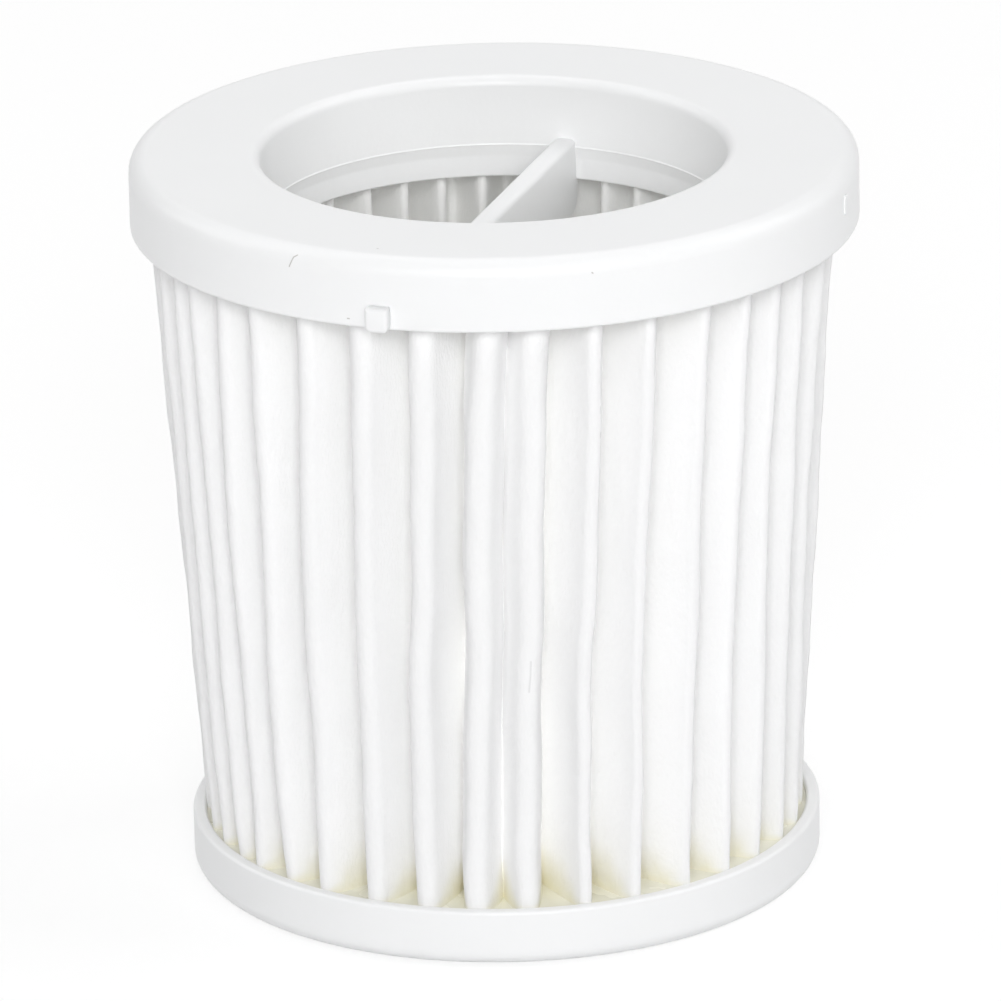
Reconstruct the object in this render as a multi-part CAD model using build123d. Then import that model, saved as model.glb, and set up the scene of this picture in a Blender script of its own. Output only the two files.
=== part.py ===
from build123d import *
import os
from cmath import phase, rect
from math import acos, cos, pi, radians, sin

# A vacuum cleaner's filter cartridge: one band of pleated filter paper, narrower at the foot,
# bonded between two moulded caps. Millimetres, +Z up, origin at the centre of the resting face.
# The grip bar and the two lugs lie along Y.

# Overall
height = 99.0             # from the resting face to the sealing face

# Top cap: sealing ring, skirt, throat, collar, grip bar and lugs in one moulding
rim_d = 96.0              # across the skirt
rim_round = 2.2           # outer edge of the sealing ring
ring_wall = 2.0           # thickness of the sealing ring
skirt_wall = 1.8
skirt_depth = 9.5         # below the sealing face
throat_d = 61.4
lip_round = 1.3           # upper edge of the throat
throat_depth = 9.6        # below the sealing face, where the collar begins
collar_step = 0.3         # the collar is this much wider than the throat, on the radius
collar_wall = 1.4
collar_length = 4.5       # below the throat

# Grip bar, a plate on edge across the throat
bar_thick = 2.9
bar_rise = 1.3            # above the top of the collar
bar_drop = 4.3            # below the foot of the collar
bar_edge_round = 0.8      # the two long upper edges
bar_corner_round = 2.0    # the two lower corners
bar_root = 0.4            # each end runs this far into the collar's wall

# Lugs on the lower edge of the skirt, and the scar where the moulding was fed
lug_width = 3.0
lug_height = 3.2
lug_proud = 1.55
lug_round = 0.7
gate_width = 1.2
gate_height = 2.6
gate_proud = 0.2
gate_depth = 2.7          # below the sealing face

# Bottom cap, a shallow cup
base_d = 84.0
base_height = 7.6
base_wall = 1.8
base_floor = 1.8
base_round = 2.0          # lower outer edge

# Pleated paper
pleat_count = 38
paper = 0.6               # thickness of the sheet
tip_round = 1.3           # outside radius of a fold's tip at the head
tip_room_head = 0.5       # from the pleat tips to the skirt's inside
tip_room_foot = 1.0       # from the pleat tips to the cup's inside
fold_room = 0.35          # from the collar's foot to the inner folds

# Adhesive that holds the two ends of the paper
top_bed = 4.5             # depth of adhesive under the sealing ring
resin_drop = 1.2          # from the cup's rim down to the resin
end_gap = 1.2             # adhesive between an end of the paper and the cap
bond_gap = 0.05           # room between adhesive and what it wets

# Flats that stand for a quarter round on the caps, and for the round of a pleat's tip
edge_flats = 3
tip_flats = 5

# Sizes that follow from these
rim_r = rim_d / 2
throat_r = throat_d / 2
collar_r = throat_r + collar_step
collar_outer_r = collar_r + collar_wall
skirt_inner_r = rim_r - skirt_wall
base_r = base_d / 2
base_inner_r = base_r - base_wall
skirt_foot = height - skirt_depth
channel_top = height - ring_wall
collar_top = height - throat_depth
collar_foot = collar_top - collar_length
resin_top = base_height - resin_drop
paper_foot = base_floor + end_gap
paper_head = channel_top - end_gap
tip_r_foot = base_inner_r - tip_room_foot
tip_r_head = skirt_inner_r - tip_room_head
half_pitch = pi / pleat_count


def turned(section):
    """The solid of revolution about Z of a closed half section."""
    return revolve(Plane.XZ * make_face(Polyline(*section, close=True)), Axis.Z)


def ring(inner_r, outer_r, low, high):
    """A plain ring between two radii and two heights."""
    return turned([(inner_r, low), (outer_r, low), (outer_r, high), (inner_r, high)])


def quarter_round(x, z, radius, start):
    """Points on a quarter circle about (x, z), anticlockwise from an angle in degrees."""
    angles = [radians(start + 90 * k / edge_flats) for k in range(edge_flats + 1)]
    return [(x + radius * cos(a), z + radius * sin(a)) for a in angles]


def cap_ring():
    """Sealing ring with its skirt outside and its throat and collar inside."""
    return turned([
        (skirt_inner_r, skirt_foot),
        (rim_r, skirt_foot),
        *quarter_round(rim_r - rim_round, height - rim_round, rim_round, 0),
        *quarter_round(throat_r + lip_round, height - lip_round, lip_round, 90),
        (throat_r, collar_top),
        (collar_r, collar_top),
        (collar_r, collar_foot),
        (collar_outer_r, collar_foot),
        (collar_outer_r, channel_top),
        (skirt_inner_r, channel_top),
    ])


def grip_bar():
    """A plate on edge along Y, rounded along its top and at its two lower corners."""
    reach = collar_r + bar_root
    foot = collar_foot - bar_drop
    top = collar_top + bar_rise
    corners = [(-reach, foot), (reach, foot), (reach, top), (-reach, top)]
    side = FilletPolyline(*corners, radius=[bar_corner_round, bar_corner_round, 0, 0], close=True)
    plate = extrude(Plane.YZ * make_face(side), amount=bar_thick / 2, both=True)
    top_edges = plate.edges().filter_by(Axis.Y).group_by(Axis.Z)[-1]
    return fillet(top_edges, bar_edge_round)


def lug():
    """A small block on the skirt's lower edge at -Y, with rounded lower corners."""
    depth = lug_proud + skirt_wall / 2
    block = Box(lug_width, depth, lug_height, align=(Align.CENTER, Align.MIN, Align.MIN))
    block = fillet(block.edges().filter_by(Axis.Y).group_by(Axis.Z)[0], lug_round)
    return Pos(0, -rim_r - lug_proud, skirt_foot) * block


def gate_scar():
    """The trimmed stub of the moulding's feed, a low pad on the skirt at +X."""
    depth = gate_proud + skirt_wall / 2
    pad = Box(depth, gate_width, gate_height, align=(Align.MAX, Align.CENTER, Align.MAX))
    return Pos(rim_r + gate_proud, 0, height - gate_depth) * pad


def top_cap():
    """The upper moulding, in one piece."""
    return cap_ring() + grip_bar() + lug() + Rot(Z=180) * lug() + gate_scar()


def bottom_cap():
    """A shallow cup with a rounded foot."""
    return turned([
        (0, 0),
        *quarter_round(base_r - base_round, base_round, base_round, 270),
        (base_r, base_height),
        (base_inner_r, base_height),
        (base_inner_r, base_floor),
        (0, base_floor),
    ])


def tip_radius(z):
    """Radius of the pleat tips at a height, tapering evenly from head to foot."""
    share = (z - paper_foot) / (paper_head - paper_foot)
    return tip_r_foot + (tip_r_head - tip_r_foot) * share


def crease_radius(z):
    """Radius of the outer creases at a height: in step with the tips, so that the walls are flat."""
    return (collar_outer_r + fold_room + paper) * tip_radius(z) / tip_radius(collar_foot)


def pleat_wall(z, stand_off):
    """One wall of the pleat that points along X, as a point on it and its direction inwards.

    Points of the plane are complex numbers. The wall runs from where it touches the round of the tip
    to the crease of the inner fold. stand_off shifts it square to itself, out of the paper.
    """
    radius = tip_round * tip_radius(z) / tip_r_head
    centre = tip_radius(z) - radius
    reach = rect(crease_radius(z), half_pitch) - centre
    normal = rect(1, phase(reach) - acos(radius / abs(reach)))
    return centre + (radius + stand_off) * normal, normal * 1j


def wall_at(wall, direction, distance):
    """The point where a wall reaches a distance along a unit direction."""
    start, run = wall
    along = [(p * direction.conjugate()).real for p in wall]
    return start + run * (distance - along[0]) / along[1]


def outline(z, pleat):
    """The points of one pleat repeated round the axis, at a height."""
    turns = [rect(1, 2 * half_pitch * k) for k in range(pleat_count)]
    return [((p * turn).real, (p * turn).imag, z) for turn in turns for p in pleat]


def between(low, high):
    """The solid between two outlines with as many points, with a flat wall from side to side."""
    pairs = list(zip(low, high))
    walls = [(a, b, d, c) for (a, c), (b, d) in zip(pairs, pairs[1:] + pairs[:1])]
    return Solid(Shell([make_face(Polyline(*edge, close=True)) for edge in (low, high, *walls)]))


def outer_side(z):
    """The paper's outer side at a height: a round tip and a sharp crease to each pleat."""
    wall = pleat_wall(z, 0)
    centre = tip_radius(z) - tip_round * tip_radius(z) / tip_r_head
    touch = wall[0] - centre
    spread = phase(touch)
    tip = [centre + rect(abs(touch), spread * (2 * k / tip_flats - 1)) for k in range(tip_flats + 1)]
    return outline(z, [*tip, rect(crease_radius(z), half_pitch)])


def flat_side(z, stand_off, tip_reach, fold_reach):
    """An outline with a flat at each tip and each inner fold, its walls shifted by stand_off."""
    wall = pleat_wall(z, stand_off)
    tip = wall_at(wall, 1 + 0j, tip_reach)
    fold = wall_at(wall, rect(1, half_pitch), fold_reach)
    return outline(z, [fold.conjugate(), tip.conjugate(), tip, fold])


def inner_side(z, room=0):
    """The paper's inner side at a height: doubled in the tip, with a flat on the inner fold."""
    return flat_side(z, -paper - room, tip_radius(z) - 2 * paper - room, crease_radius(z) - paper - room)


def pleated_media():
    """The band of folded paper, between its foot and its head."""
    outer = between(outer_side(paper_foot), outer_side(paper_head))
    inner = between(inner_side(paper_foot - paper), inner_side(paper_head + paper))
    return outer - inner


def paper_slot(low, high):
    """The room that the paper takes up in the adhesive between two heights."""
    def outside(z):
        return flat_side(z, bond_gap, tip_radius(z) + bond_gap, crease_radius(z) + paper)

    outer = between(outside(low), outside(high))
    inner = between(inner_side(low - paper, bond_gap), inner_side(high + paper, bond_gap))
    return outer - inner


def top_potting():
    """The ring of adhesive under the sealing ring, with the paper's head set in it."""
    low = channel_top - top_bed
    bed = ring(collar_outer_r + bond_gap, skirt_inner_r - bond_gap, low, channel_top)
    return bed - paper_slot(low - paper, paper_head)


def bottom_potting():
    """The resin in the cup, with the paper's foot set in it."""
    bed = ring(0, base_inner_r - bond_gap, base_floor, resin_top)
    return bed - paper_slot(paper_foot, resin_top + paper)


os.makedirs("parts", exist_ok=True)
for piece in (top_cap, bottom_cap, pleated_media, top_potting, bottom_potting):
    export_step(piece(), f"parts/{piece.__name__}.step")
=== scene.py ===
import bpy
import numpy as np
from mathutils import Matrix, Vector


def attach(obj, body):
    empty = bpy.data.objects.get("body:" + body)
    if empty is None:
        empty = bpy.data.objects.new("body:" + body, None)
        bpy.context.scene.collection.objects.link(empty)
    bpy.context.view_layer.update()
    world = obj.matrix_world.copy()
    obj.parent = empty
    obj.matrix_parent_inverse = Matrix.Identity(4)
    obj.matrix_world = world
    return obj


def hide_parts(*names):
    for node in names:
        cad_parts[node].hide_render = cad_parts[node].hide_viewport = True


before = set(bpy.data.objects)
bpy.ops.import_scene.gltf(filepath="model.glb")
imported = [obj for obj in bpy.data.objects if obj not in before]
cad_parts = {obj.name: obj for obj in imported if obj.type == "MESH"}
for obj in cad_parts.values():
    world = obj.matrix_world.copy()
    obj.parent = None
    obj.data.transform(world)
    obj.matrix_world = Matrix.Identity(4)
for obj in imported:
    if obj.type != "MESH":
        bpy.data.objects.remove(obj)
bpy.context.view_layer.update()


# Bottom cap: a shallow cup moulded in white plastic, the foot that the cartridge stands on.
# Its rim has soft edges and its lower edge is rounded. The resin inside it holds the paper.
# Sections are in millimetres, as radius and height, and become metres when a mesh is made.

MM = 0.001


def rounded_section(corners, closed=True, arc_steps=7, guard=0.12):
    """Straight runs between corners (x, z, radius), with an arc at each corner that touches both runs.

    The arc's centre lies on the bisector at radius / sin(half the corner's angle). A guard point on each
    run, close to each arc, keeps the run flat under smooth shading. An open section keeps its two ends.
    """
    x, z, radius = np.array(corners, float).T
    corner = x + 1j * z
    back = np.roll(corner, 1) - corner
    ahead = np.roll(corner, -1) - corner
    back, ahead = back / abs(back), ahead / abs(ahead)
    half = np.angle(ahead / back) / 2
    reach = radius / np.tan(abs(half))
    start = corner + back * reach
    centre = corner + (back + ahead) / abs(back + ahead) * radius / np.sin(abs(half))
    sweep = -np.sign(half) * (np.pi - 2 * abs(half))
    turn = np.exp(1j * sweep[:, None] * np.linspace(0, 1, arc_steps))
    arcs = centre[:, None] + (start - centre)[:, None] * turn
    before = corner + back * (reach + guard)
    after = corner + ahead * (reach + guard)
    line = np.column_stack([before, arcs, after])
    return line.ravel() if closed else np.r_[corner[0], line[1:-1].ravel(), corner[-1]]


def grid_faces(rows, columns, wrap_rows=False):
    """Quads of a grid whose columns close on themselves, and whose rows do too if wrap_rows."""
    index = np.arange(rows * columns).reshape(rows, columns)
    above = np.roll(index, -1, 0)
    quads = np.stack([index, np.roll(index, -1, 1), np.roll(above, -1, 1), above], -1)
    return (quads if wrap_rows else quads[:-1]).reshape(-1, 4).tolist()


def fanned(place, height, low, high):
    """Rings of points, as complex places and heights, closed by a fan to the axis at low and at high."""
    rings, steps = place.shape
    points = np.stack([place.real, place.imag, height], -1).reshape(-1, 3)
    count = len(points)
    first = np.arange(steps)
    last = first + count - steps
    faces = grid_faces(rings, steps)
    faces += np.stack([np.roll(first, -1), first, np.full(steps, count)], -1).tolist()
    faces += np.stack([last, np.roll(last, -1), np.full(steps, count + 1)], -1).tolist()
    return np.r_[points, [[0, 0, low], [0, 0, high]]], faces


def turned(section, steps=256):
    """A section carried once round Z: (r, z) goes to (r cos a, r sin a, z) at each angle a.

    A section that starts and ends on the axis is closed by a fan of triangles at each end.
    """
    turn = np.exp(2j * np.pi * np.arange(steps) / steps)
    on_axis = abs(section[0].real) < 1e-9
    rings = section[1:-1] if on_axis else section
    place = rings.real[:, None] * turn
    height = np.repeat(rings.imag[:, None], steps, 1)
    if on_axis:
        return fanned(place, height, section[0].imag, section[-1].imag)
    points = np.stack([place.real, place.imag, height], -1).reshape(-1, 3)
    return points, grid_faces(len(rings), steps, wrap_rows=True)


def together(*shells):
    """Several shells of points and faces as one."""
    starts = np.cumsum([0] + [len(points) for points, _ in shells])
    faces = [[i + start for i in face] for (_, each), start in zip(shells, starts) for face in each]
    return np.concatenate([points for points, _ in shells]), faces


def piece(name, shell, material, slot, *nodes):
    """A smooth mesh object made from a shell, riding on the one body and standing for CAD nodes."""
    points, faces = shell
    mesh = bpy.data.meshes.new(name)
    mesh.from_pydata((points * MM).tolist(), [], faces)
    mesh.shade_smooth()
    mesh.materials.append(material)
    made = bpy.data.objects.new(name, mesh)
    bpy.context.scene.collection.objects.link(made)
    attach(made, "root")
    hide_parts(*nodes)
    return made


class Shade:
    """A socket in a material. Operators on it add Math nodes, and node adds any other node."""

    def __init__(self, tree, socket=None):
        self.tree = tree
        self.socket = socket

    def node(self, kind, settings=None, inputs=None, out=0):
        made = self.tree.nodes.new(kind)
        for name, value in (settings or {}).items():
            setattr(made, name, value)
        for name, value in (inputs or {}).items():
            if isinstance(value, Shade):
                self.tree.links.new(value.socket, made.inputs[name])
            else:
                made.inputs[name].default_value = value
        return Shade(self.tree, made.outputs[out])

    def math(self, operation, first, second=0.0, clamp=False):
        settings = {"operation": operation, "use_clamp": clamp}
        return self.node("ShaderNodeMath", settings, {0: first, 1: second})

    def __add__(self, other):
        return self.math("ADD", self, other)

    def __sub__(self, other):
        return self.math("SUBTRACT", self, other)

    def __rsub__(self, other):
        return self.math("SUBTRACT", other, self)

    def __mul__(self, other):
        return self.math("MULTIPLY", self, other)

    def __truediv__(self, other):
        return self.math("DIVIDE", self, other)

    def __pow__(self, other):
        return self.math("POWER", self, other)

    __radd__ = __add__
    __rmul__ = __mul__

    def clamped(self):
        return self.math("ADD", self, 0.0, clamp=True)

    def mix(self, first, second):
        """Colour from first to second as this value goes from 0 to 1."""
        inputs = {0: self, 6: first, 7: second}
        return self.node("ShaderNodeMix", {"data_type": "RGBA"}, inputs, out=2)

    def noise(self, coordinates, per_mm, detail=2.0):
        inputs = {"Vector": coordinates, "Scale": per_mm / MM, "Detail": detail}
        return self.node("ShaderNodeTexNoise", None, inputs)

    def background_rays(self):
        """1 for rays that show the background itself: from the camera, off gloss or through glass."""
        camera, glossy, transmission = (self.node("ShaderNodeLightPath", out=k) for k in (0, 3, 6))
        return (camera + glossy + transmission).clamped()

    def vector(self, operation, inputs, out=0):
        return self.node("ShaderNodeVectorMath", {"operation": operation}, inputs, out)

    def near_line(self, coordinates, start, end, width_mm):
        """1 on the line from start to end, given in millimetres, falling to 0 at a width from it."""
        start, end = Vector(start) * MM, Vector(end) * MM
        run = end - start
        offset = self.vector("SUBTRACT", {0: coordinates, 1: start})
        along = self.vector("DOT_PRODUCT", {0: offset, 1: run / run.length_squared}, out=1).clamped()
        on_line = self.vector("SCALE", {0: run, "Scale": along})
        apart = self.vector("DISTANCE", {0: offset, 1: on_line}, out=1)
        return (1 - apart / (width_mm * MM)).clamped()

    def marks(self, coordinates, lines, width_mm, strength):
        """The strength on any of several lines, falling to 0 at a width from them."""
        total = 0.0
        for start, end in lines:
            total = self.math("MAXIMUM", total, self.near_line(coordinates, start, end, width_mm))
        return strength * total


def new_material(name):
    """An empty node material: its tree, its Principled shader and its object coordinates."""
    material = bpy.data.materials.new(name)
    material.use_nodes = True
    shade = Shade(material.node_tree)
    surface = material.node_tree.nodes["Principled BSDF"]
    coordinates = shade.node("ShaderNodeTexCoord", None, None, out=3)
    return material, shade, surface, coordinates


def connect(surface, **values):
    """Feeds sockets of a shader, named with _ for a space, with links or plain values."""
    for name, value in values.items():
        socket = surface.inputs[name.replace("_", " ")]
        if isinstance(value, Shade):
            value.tree.links.new(value.socket, socket)
        else:
            socket.default_value = value


# Marks on the top cap: a curved scratch on the front of the rim, a speck by the lug and two on the rim
cap_scratch = [
    (-11.43, -46.24, 98.02),
    (-11.94, -46.28, 97.72),
    (-12.28, -46.39, 97.03),
    (-12.55, -46.33, 96.42),
]
cap_specks = [
    ((-4.35, -47.8, 90.6), (-4.1, -47.82, 90.6)),
    ((-1.45, -43.93, 99.0), (-1.3, -43.93, 99.0)),
    ((26.1, -40.27, 96.9), (26.2, -40.21, 96.8)),
]


def white_plastic():
    """White moulded plastic: faint flow marks, a satin skin with fine orange peel, a scratch and specks."""
    material, shade, surface, place = new_material("white_plastic")
    flow = shade.noise(place, 0.06, 2.0)
    peel = shade.noise(place, 1.6, 1.0)
    white = flow.mix((0.86, 0.865, 0.87, 1), (0.88, 0.885, 0.89, 1))
    marks = shade.marks(place, [*zip(cap_scratch, cap_scratch[1:]), *cap_specks], 0.13, 0.75)
    colour = marks.mix(white, (0.3, 0.28, 0.25, 1))
    bump = shade.node("ShaderNodeBump", None, {"Strength": 0.05, "Distance": 0.0002, "Height": peel})
    connect(surface, Base_Color=colour, Roughness=0.3 + 0.12 * flow, Normal=bump, Specular_IOR_Level=0.35)
    return material


plastic = white_plastic()

base_r = 42.0
base_height = 7.6
base_inner_r = 40.2
base_floor = 1.8

cup = turned(rounded_section([
    (0, 0, 0),
    (base_r, 0, 2.0),
    (base_r, base_height, 0.45),
    (base_inner_r, base_height, 0.45),
    (base_inner_r, base_floor, 0.4),
    (0, base_floor, 0),
], closed=False))
piece("bottom_cup", cup, plastic, "cap_plastic", "bottom_cap")


# Pleated paper: one long strip of white filter paper, folded back and forth and closed to a band.
# The folds are drawn in at the foot, and each leans and waves a little, as hand-set pleats do.
# Both ends are cast into adhesive. The front folds stand where they are seen on the real one.

pleats = 38
sheet = 0.6
paper_foot = 3.0
paper_head = 95.8
tip_r_foot, tip_r_head = 39.55, 45.45
fold_r_foot, fold_r_head = 28.7, 33.4
fold_round = 0.65
facing = np.radians(-71.8)        # angle round Z of the side that the camera faces
soaked_rows = np.linspace(6.2, 14.2, 17)  # closer, for the edge of what the resin has soaked
heights = np.r_[paper_foot, 5.0, soaked_rows, np.linspace(15.6, paper_head, 49)]
draw = np.random.default_rng(11)

# Front folds: degrees from the facing side near the head and near the foot, and the radius of the tip
seen_high, seen_low, seen_round = np.array([
    (-68.8, -70.8, 1.1),
    (-61.8, -62.5, 1.2),
    (-53.3, -55.5, 1.3),
    (-44.3, -46.9, 1.4),
    (-33.7, -37.3, 1.6),
    (-23.1, -26.1, 1.8),
    (-12.0, -15.9, 1.9),
    (-1.7, -5.5, 2.0),
    (6.8, 3.8, 1.9),
    (17.2, 14.6, 1.2),
    (26.7, 25.1, 1.0),
    (37.5, 36.7, 1.0),
    (46.7, 46.6, 1.0),
    (54.8, 56.9, 1.0),
    (63.4, 66.8, 1.0),
]).T
shallow = 7                       # the crease between the two folds at the middle lies in a shallow valley
shallow_depth = 6.5


def all_round(seen):
    """The seen folds, then the others, evenly spaced over the rest of the turn."""
    others = pleats - len(seen)
    gap = (360 - seen[-1] + seen[0]) / (others + 1)
    return np.r_[seen, seen[-1] + gap * np.arange(1, others + 1)]


def waves(lengths, sizes):
    """For each pleat a sum of sines along the height, of given lengths and sizes, at random phases."""
    total = np.zeros((len(heights), pleats))
    for length, size in zip(lengths, sizes):
        phase = draw.uniform(0, 2 * np.pi, pleats)
        strength = draw.uniform(0.5, 1.2, pleats) * size
        total += strength * np.sin(2 * np.pi * heights[:, None] / length + phase)
    return total


def lerp(first, second, share):
    """Values from first to second, spread along a new last axis."""
    return first[..., None] + (second - first)[..., None] * share


share = (heights[:, None] - paper_foot) / (paper_head - paper_foot)
lean = (heights[:, None] - 10) / 80
unseen = pleats - len(seen_low)
scatter = np.r_[np.zeros(len(seen_low)), draw.normal(0, 0.8, unseen)]
degrees = all_round(seen_low) * (1 - lean) + all_round(seen_high) * lean + scatter
tip_angle = facing + np.radians(degrees + waves((52, 23, 9), (0.3, 0.14, 0.05)))
whole_turn = 2 * np.pi * (np.arange(pleats) == pleats - 1)
fold_angle = (tip_angle + np.roll(tip_angle, -1, 1) + whole_turn) / 2
front = slice(0, len(seen_low) - 1)  # the creases between seen folds lean towards the facing side
fold_angle[:, front] -= np.clip(0.1 * (fold_angle[:, front] - facing), *np.radians([-0.8, 0.8]))
tip_r = tip_r_foot + (tip_r_head - tip_r_foot) * share + waves((70, 19, 7), (0.15, 0.08, 0.03))
roundness = np.r_[seen_round, draw.uniform(0.9, 1.5, unseen)]
tip_round = roundness * (0.8 + 0.2 * share) + waves((60, 21), (0.08, 0.04))
bulge = 0.25 * (roundness - 0.8)
fold_r = fold_r_foot + (fold_r_head - fold_r_foot) * share + draw.uniform(0, 0.5, pleats)
fold_r[:, shallow] = tip_r[:, shallow] - shallow_depth
belly = 0.45 * np.sin(np.pi * share) * np.exp(1j * np.radians(198))


def band():
    """Mid-line of the paper at each height, as complex numbers, and how deep in its fold each point lies.

    Each tip and each inner fold is an arc. The wall between them follows the line that touches both and
    crosses from one side to the other, bulged outwards by a parabola 4 b t (1 - t). The arcs stop short
    at the tip and run on at the fold by the parabola's slope there, 4 b over the length. The whole band
    bellies a little to one side at mid height.
    """
    tip_mid = tip_round - sheet / 2
    fold_mid = fold_round - sheet / 2
    tip_out = np.exp(1j * tip_angle)
    fold_out = np.exp(1j * fold_angle)
    tip_centre = (tip_r - tip_round) * tip_out
    fold_centre = (fold_r + fold_round) * fold_out
    inner = np.linspace(0, 1, 6)[1:-1]
    bow = 4 * inner * (1 - inner)

    def wall(centre, side):
        """The wall's outward direction, how far it bulges, and the turn at its ends."""
        across = centre - tip_centre
        tilt = np.arccos((tip_mid + fold_mid) / abs(across))
        swell = bulge + waves((80, 31), (0.15, 0.06))
        return across / abs(across) * np.exp(-1j * side * tilt), swell, 4 * side * swell / abs(across)

    after, swell, turn = wall(fold_centre, 1)
    before, swell_before, turn_before = wall(np.roll(fold_centre, 1, 1), -1)
    coming_walls = before, swell_before, turn_before
    next_before, next_swell, next_turn = (np.roll(each, -1, 1) for each in coming_walls)

    tip_start = np.angle(before / tip_out) - turn_before
    tip_end = np.angle(after / tip_out) - turn
    tip_turn = lerp(tip_start, tip_end, np.linspace(0, 1, 7))
    tip = tip_centre[..., None] + (tip_mid * tip_out)[..., None] * np.exp(1j * tip_turn)
    fold_start = np.angle(after / fold_out) + turn
    fold_end = np.angle(next_before / fold_out) + next_turn
    fold_turn = lerp(fold_start, fold_end, np.linspace(0, 1, 4))
    fold = fold_centre[..., None] - fold_mid * fold_out[..., None] * np.exp(1j * fold_turn)
    next_tip = np.roll(tip, -1, 1)
    going = lerp(tip[..., -1], fold[..., 0], inner) + (swell * after)[..., None] * bow
    coming = lerp(fold[..., -1], next_tip[..., 0], inner) + (next_swell * next_before)[..., None] * bow
    line = np.concatenate([tip, going, fold, coming], -1).reshape(len(heights), -1)
    depth = (tip_r.mean(1)[:, None] - abs(line)) / (tip_r - fold_r).mean(1)[:, None]
    return line + belly, depth


paper_line, fold_depth = band()
whole = np.ones_like(fold_depth)
along = np.roll(paper_line, -1, 1) - np.roll(paper_line, 1, 1)
stand = -1j * along / abs(along) * sheet / 2
skins = np.concatenate([paper_line + stand, (paper_line - stand)[::-1]])
skin_heights = np.repeat(np.r_[heights, heights[::-1]][:, None], skins.shape[1], 1)
paper_points = np.stack([skins.real, skins.imag, skin_heights], -1).reshape(-1, 3)
paper_faces = grid_faces(*skins.shape, wrap_rows=True)

# Resin climbs the paper by a different height in each fold, and hardly at all on the tips.
# The inner skin counts as deep all over, so it takes the whitest paper colour: painted light, standing in
# for the light that shines through the paper from behind.
resin_level = 6.4
wick = np.repeat(draw.uniform(4.5, 7.5, pleats), paper_line.shape[1] // pleats)
climb = 0.35 + wick * np.clip(fold_depth / 0.4, 0, 1)
soaked = np.clip(1 - (heights[:, None] - resin_level) / climb, 0, 1)
shares = {
    "soaked": np.concatenate([soaked, soaked[::-1]]),
    "depth": np.concatenate([fold_depth, whole]),
}

# Grey scuffs on two of the front folds
paper_scuff = [(16.44, -38.73, 42.46), (16.3, -38.59, 40.46), (16.06, -38.61, 38.23)]
paper_specks = [
    ((25.47, -35.65, 77.2), (25.44, -35.6, 76.3)),
    ((25.32, -35.33, 73.5), (25.28, -35.29, 72.9)),
]


def filter_paper():
    """Soft white filter paper: fibres in two sizes, whiter deeper in the folds as painted light, amber
    where resin soaked in.
    """
    material, shade, surface, place = new_material("filter_paper")
    stretch = shade.node("ShaderNodeMapping", None, {"Vector": place, "Scale": (1.0, 1.0, 0.45)})
    fibre = shade.noise(stretch, 2.6, 2.0)
    felt = shade.noise(place, 0.55, 2.0)
    depth = shade.node("ShaderNodeAttribute", {"attribute_name": "depth"}, None, out=2)
    # Whiter deeper in the folds and all over the inner skin: painted light that lifts the shade in the
    # valleys and inside the band. The fibre noise adds the paper's own grain.
    white = (depth + 0.3 * fibre - 0.15).clamped().mix((0.885, 0.885, 0.89, 1), (0.965, 0.965, 0.96, 1))
    soak = shade.node("ShaderNodeAttribute", {"attribute_name": "soaked"}, None, out=2)
    soak = (soak * (0.75 + 0.5 * felt)).clamped()
    colour = (soak ** 1.3).mix(white, (0.8, 0.775, 0.64, 1))
    marks = shade.marks(place, [*zip(paper_scuff, paper_scuff[1:]), *paper_specks], 0.22, 0.3)
    colour = marks.mix(colour, (0.45, 0.45, 0.45, 1))
    height = 0.6 * fibre + 0.8 * felt
    bump = shade.node("ShaderNodeBump", None, {"Strength": 0.5, "Distance": 0.0003, "Height": height})
    connect(surface, Base_Color=colour, Roughness=0.92 - 0.5 * soak, Normal=bump, Specular_IOR_Level=0.2)
    return material


paper = piece("pleated_paper", (paper_points, paper_faces), filter_paper(), "filter_paper", "pleated_media")
for name, values in shares.items():
    attribute = paper.data.attributes.new(name, "FLOAT", "POINT")
    attribute.data.foreach_set("value", values.ravel().astype(np.float32))


# Resin in the cup: amber adhesive poured in liquid, with the paper's foot standing in it.
# It is level in the middle, and creeps up the cup's wall and up the paper where it wets them.

def resin_shell(steps=480):
    """A disc whose top is level plus a rise that dies away with the distance from paper and wall.

    Each rise is its height times exp(-distance / reach). The disc keeps clear of the cup by a hair.
    """
    clear = 0.02
    edge = base_inner_r - clear
    top_r = np.r_[edge, np.linspace(edge - 0.15, 27.0, 34), 18.0, 8.0]
    radius = np.r_[8.0, 20.0, edge - 0.3, edge, top_r]
    turn = np.exp(2j * np.pi * np.arange(steps) / steps)
    place = radius[:, None] * turn
    foot = paper_line[np.argmin(abs(heights - resin_level))]
    foot = lerp(foot, np.roll(foot, -1), np.linspace(0, 1, 8)).ravel()
    reach = np.stack([abs(row[:, None] - foot).min(1) for row in place])
    rise = 0.35 * np.exp(-reach / 0.6) + 0.4 * np.exp((radius - edge) / 0.4)[:, None]
    height = resin_level + np.minimum(rise, 0.9)
    height[:3] = base_floor + clear
    height[3] = base_floor + 0.3
    return fanned(place, height, base_floor + clear, resin_level)


def amber_resin():
    """Cast amber resin: glossy, a little cloudy, with small unevenness in its skin."""
    material, shade, surface, place = new_material("amber_resin")
    cloud = shade.noise(place, 0.12, 3.0)
    ripple = shade.noise(place, 0.4, 1.0)
    colour = cloud.mix((0.82, 0.81, 0.71, 1), (0.88, 0.875, 0.80, 1))
    bump = shade.node("ShaderNodeBump", None, {"Strength": 0.06, "Distance": 0.0005, "Height": ripple})
    connect(surface, Base_Color=colour, Roughness=0.16 + 0.2 * cloud, Normal=bump)
    return material


resin = amber_resin()
piece("cup_resin", resin_shell(), resin, "resin", "bottom_potting")


# Adhesive under the sealing ring: the same resin, in a plain ring with the paper's head set in it.
# It is hidden in use, so the solid itself shows, with the resin's finish.

head_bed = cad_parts["top_potting"]
head_bed.data.materials.clear()
head_bed.data.materials.append(resin)


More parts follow.
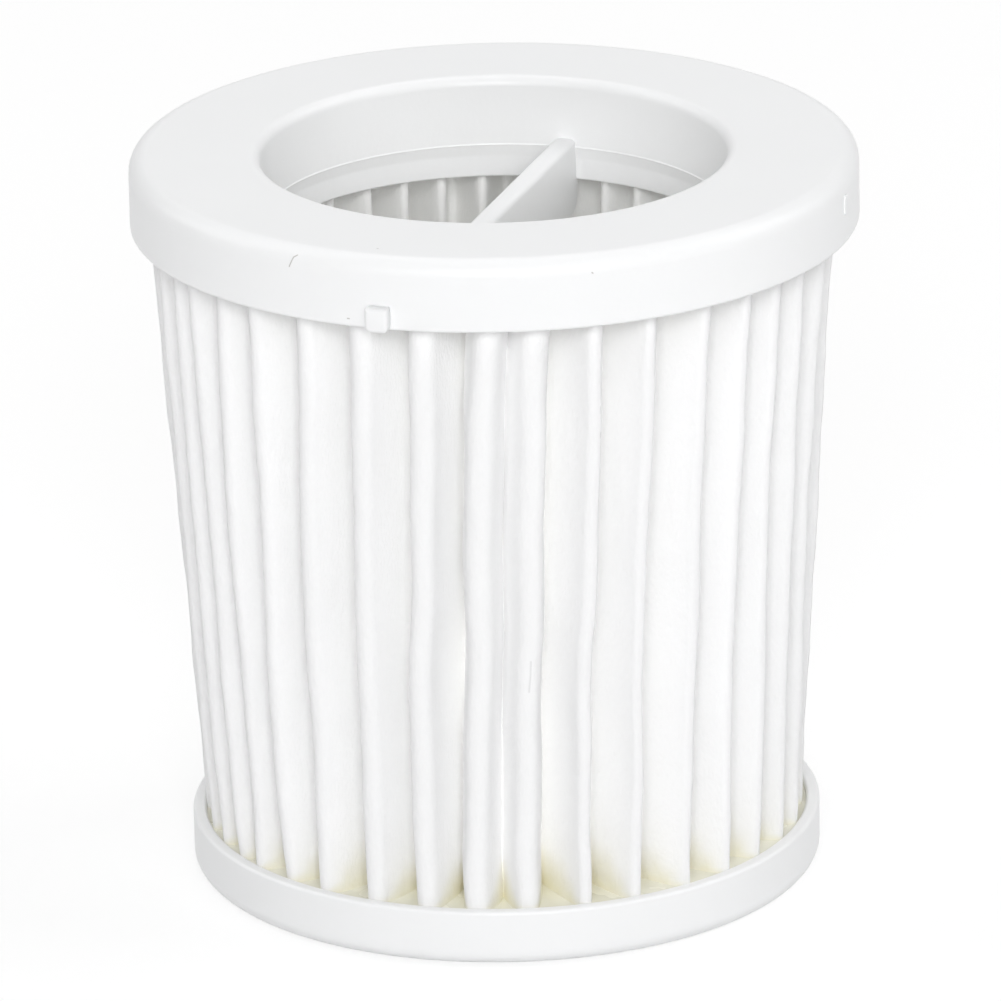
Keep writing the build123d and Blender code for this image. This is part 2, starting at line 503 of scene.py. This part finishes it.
# Top cap: one white moulding. A flat sealing ring turns down into a skirt outside and a throat inside.
# Below the throat a collar steps back, and a plate on edge crosses it as a grip. Two lugs on the skirt
# lock the cartridge in its seat, and a small scar shows where the plastic was fed in.

rim_r = 48.0
top = 99.0
skirt_foot = 89.5
skirt_inner_r = 46.2
channel_top = 97.0
throat_r = 30.7
collar_r = 31.0
collar_outer_r = 32.4
collar_top = 89.4
collar_foot = 84.9

# Where the throat ends, a fine bead marks the mould's parting line
cap_ring = turned(rounded_section([
    (skirt_inner_r, skirt_foot, 0.3),
    (rim_r, skirt_foot, 0.45),
    (rim_r, top, 2.2),
    (throat_r, top, 1.3),
    (throat_r, collar_top + 0.3, 0.04),
    (throat_r - 0.08, collar_top + 0.1, 0.05),
    (throat_r, collar_top - 0.1, 0.04),
    (collar_r, collar_top - 1.5, 2.0),
    (collar_r, collar_foot, 0.3),
    (collar_outer_r, collar_foot, 0.3),
    (collar_outer_r, channel_top, 0.3),
    (skirt_inner_r, channel_top, 0.3),
], guard=0.03), steps=320)


def bar_shell(reach=31.4, thick=2.9, high=90.7, low=80.6, corner=2.0):
    """A plate's rounded cross section carried along Y, its lower edge rising in an arc at both ends."""
    half = thick / 2
    loop = rounded_section([(-half, low, 0.3), (half, low, 0.3), (half, high, 0.8), (-half, high, 0.8)])
    bend = np.radians(np.linspace(0, 90, 8))
    end_y = reach - corner + corner * np.sin(bend)
    y = np.r_[-end_y[::-1], end_y]
    lift = corner * (1 - np.cos(bend))
    lift = np.r_[lift[::-1], lift]
    squeeze = (high - low - lift) / (high - low)
    z = high - (high - loop.imag) * squeeze[:, None]
    x = np.repeat(loop.real[None], len(y), 0)
    points = np.stack([x, np.repeat(y[:, None], len(loop), 1), z], -1).reshape(-1, 3)
    faces = [face[::-1] for face in grid_faces(len(y), len(loop))]
    ends = np.arange(len(loop))
    return points, faces + [ends.tolist(), (ends + len(points) - len(loop)).tolist()[::-1]]


def raised(corners, root, proud, edge, spin):
    """A pad on the skirt: its outline (along the skirt, height) carried outwards, with a rounded face edge.

    Near the face the outline shrinks about its middle by the same amount on every side.
    """
    outline = rounded_section(corners)
    bend = np.radians(np.linspace(0, 90, 5))
    out = np.r_[root, proud - edge + edge * np.sin(bend)][:, None]
    inset = np.r_[0, edge * (1 - np.cos(bend))][:, None]

    def shrunk(values):
        """Values drawn in towards their middle, so that the outermost move by the inset."""
        middle = (values.max() + values.min()) / 2
        half = (values.max() - values.min()) / 2
        return (values - middle) * (1 - inset / half) + middle

    across = shrunk(outline.real)
    height = shrunk(outline.imag)
    spot = (out + 1j * across) * np.exp(1j * np.radians(spin))
    points = np.stack([spot.real, spot.imag, height], -1).reshape(-1, 3)
    faces = grid_faces(len(out), len(outline))
    ends = np.arange(len(outline))
    return points, faces + [ends.tolist()[::-1], (ends + len(points) - len(outline)).tolist()]


# Outlines as places along the skirt, heights and corner radii
lug = [(-1.5, 89.5, 0.7), (1.5, 89.5, 0.7), (1.5, 92.7, 0.25), (-1.5, 92.7, 0.25)]
scar = [(-0.6, 93.7, 0.25), (0.6, 93.7, 0.25), (0.6, 96.3, 0.25), (-0.6, 96.3, 0.25)]
cap = together(
    cap_ring,
    bar_shell(),
    raised(lug, 47.2, 49.55, 0.45, -90),
    raised(lug, 47.2, 49.55, 0.45, 90),
    raised(scar, 47.2, 48.2, 0.1, 0),
)
piece("ring_cap", cap, plastic, "cap_plastic", "top_cap")


# Floor and background: a pale studio floor that keeps the soft shadow under the part. It lies a hair
# below the resting face, so that the two flat faces don't share a plane.

def white_floor():
    """Pale floor: seen by the camera it is nearly white, less where the part shades it."""
    material = bpy.data.materials.new("white_floor")
    material.use_nodes = True
    tree = material.node_tree
    shade = Shade(tree)
    output = tree.nodes["Material Output"]
    diffuse = shade.node("ShaderNodeBsdfDiffuse", None, {"Color": (0.75, 0.75, 0.75, 1)})
    glow = shade.node("ShaderNodeEmission", None, {"Strength": 1.36})
    seen = shade.background_rays()
    mixed = shade.node("ShaderNodeMixShader", None, {0: 0.5 * seen, 1: diffuse, 2: glow})
    tree.links.new(mixed.socket, output.inputs["Surface"])
    return material


floor_mesh = bpy.data.meshes.new("floor")
floor_z = -0.1 * MM
floor_corners = [(-3, -3, floor_z), (3, -3, floor_z), (3, 3, floor_z), (-3, 3, floor_z)]
floor_mesh.from_pydata(floor_corners, [], [(0, 1, 2, 3)])
floor_mesh.materials.append(white_floor())
floor = bpy.data.objects.new("floor", floor_mesh)
bpy.context.scene.collection.objects.link(floor)

world = bpy.data.worlds.new("studio")
bpy.context.scene.world = world
world.use_nodes = True
sky = Shade(world.node_tree)
seen = sky.background_rays()
backdrop = world.node_tree.nodes["Background"]
world.node_tree.links.new(seen.mix((0.03, 0.03, 0.03, 1), (1, 1, 1, 1)).socket, backdrop.inputs["Color"])


def lamp(name, place, aim, width, height, watts):
    """A soft lamp at a place, facing an aim point, with its width level. In metres."""
    light = bpy.data.lights.new(name, "AREA")
    light.shape = "RECTANGLE"
    light.size = width
    light.size_y = height
    light.energy = watts
    made = bpy.data.objects.new(name, light)
    made.location = place
    made.rotation_mode = "QUATERNION"
    made.rotation_quaternion = (Vector(aim) - Vector(place)).to_track_quat("-Z", "Y")
    bpy.context.scene.collection.objects.link(made)


# A wide lamp and a small one in the same place shade the folds softly, but from one side
middle = (0, 0, 0.05)
front_place = (0.371, -1.128, 0.579)
lamp("key", front_place, middle, 2.0, 0.6, 8.3)
lamp("flash", front_place, middle, 0.4, 0.4, 6.0)
lamp("left", (-1.023, -0.057, 0.85), middle, 1.0, 1.0, 6.3)
lamp("right", (0.915, 0.392, 0.886), middle, 1.0, 1.0, 7.8)
lamp("back", (-0.203, 0.618, 1.176), middle, 1.0, 1.0, 4)

# White folds pass light on many times
bpy.context.scene.cycles.diffuse_bounces = 20
bpy.context.scene.cycles.max_bounces = 20
bpy.context.scene.view_settings.view_transform = "Standard"


# Camera: a long lens a little above the part, turned slightly about its own axis.

azimuth, elevation, roll = np.radians([18.2, 19.73, -1.15])
distance = 1.402
aim = Vector((0, 0, 0.0497))
flat = np.cos(elevation)
back = Vector((np.sin(azimuth) * flat, -np.cos(azimuth) * flat, np.sin(elevation)))
level = Vector((np.cos(azimuth), np.sin(azimuth), 0))
upright = back.cross(level)
right = np.cos(roll) * level + np.sin(roll) * upright
up = back.cross(right)
lens = bpy.data.cameras.new("camera")
lens.sensor_width = 36.0
lens.lens = 379.5
lens.clip_start = 0.1
camera = bpy.data.objects.new("camera", lens)
axes = Matrix((right, up, back)).transposed().to_4x4()
camera.matrix_world = Matrix.Translation(aim + back * distance) @ axes
bpy.context.scene.collection.objects.link(camera)
bpy.context.scene.camera = camera
